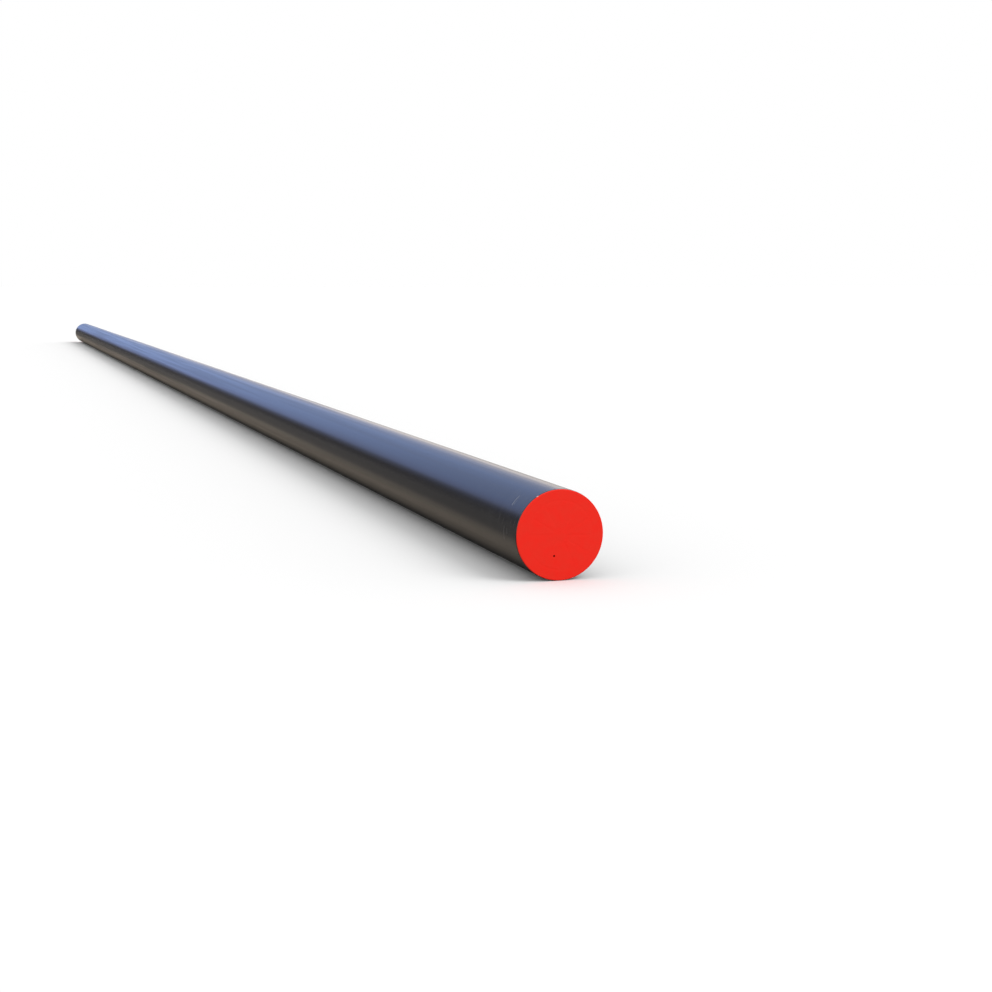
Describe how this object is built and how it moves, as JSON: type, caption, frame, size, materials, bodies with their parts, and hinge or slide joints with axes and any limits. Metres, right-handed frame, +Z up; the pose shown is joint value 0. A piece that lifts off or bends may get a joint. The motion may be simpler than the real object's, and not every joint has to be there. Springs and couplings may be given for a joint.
{
  "type": "polyethylene pipe",
  "caption": "Straight black polyethylene pressure pipe with plain square-cut ends, each closed by a flat red push-in plug with a vent hole.",
  "frame": {"origin": "on the floor, below the middle of the pipe's length", "axes": "+Y along the pipe from its front end, which faces -Y, to its rear end; +Z up; +X to the right seen from the front"},
  "size_m": [0.16, 12.0052, 0.1596],
  "materials": {
    "black_polyethylene": "satin extruded polyethylene with fine lines along its length",
    "red_polyethylene": "smooth moulded polyethylene, matt to satin"
  },
  "bodies": {
    "root": {"pipe": "black_polyethylene", "front_end_plug": "red_polyethylene", "rear_end_plug": "red_polyethylene"}
  },
  "joints": []
}
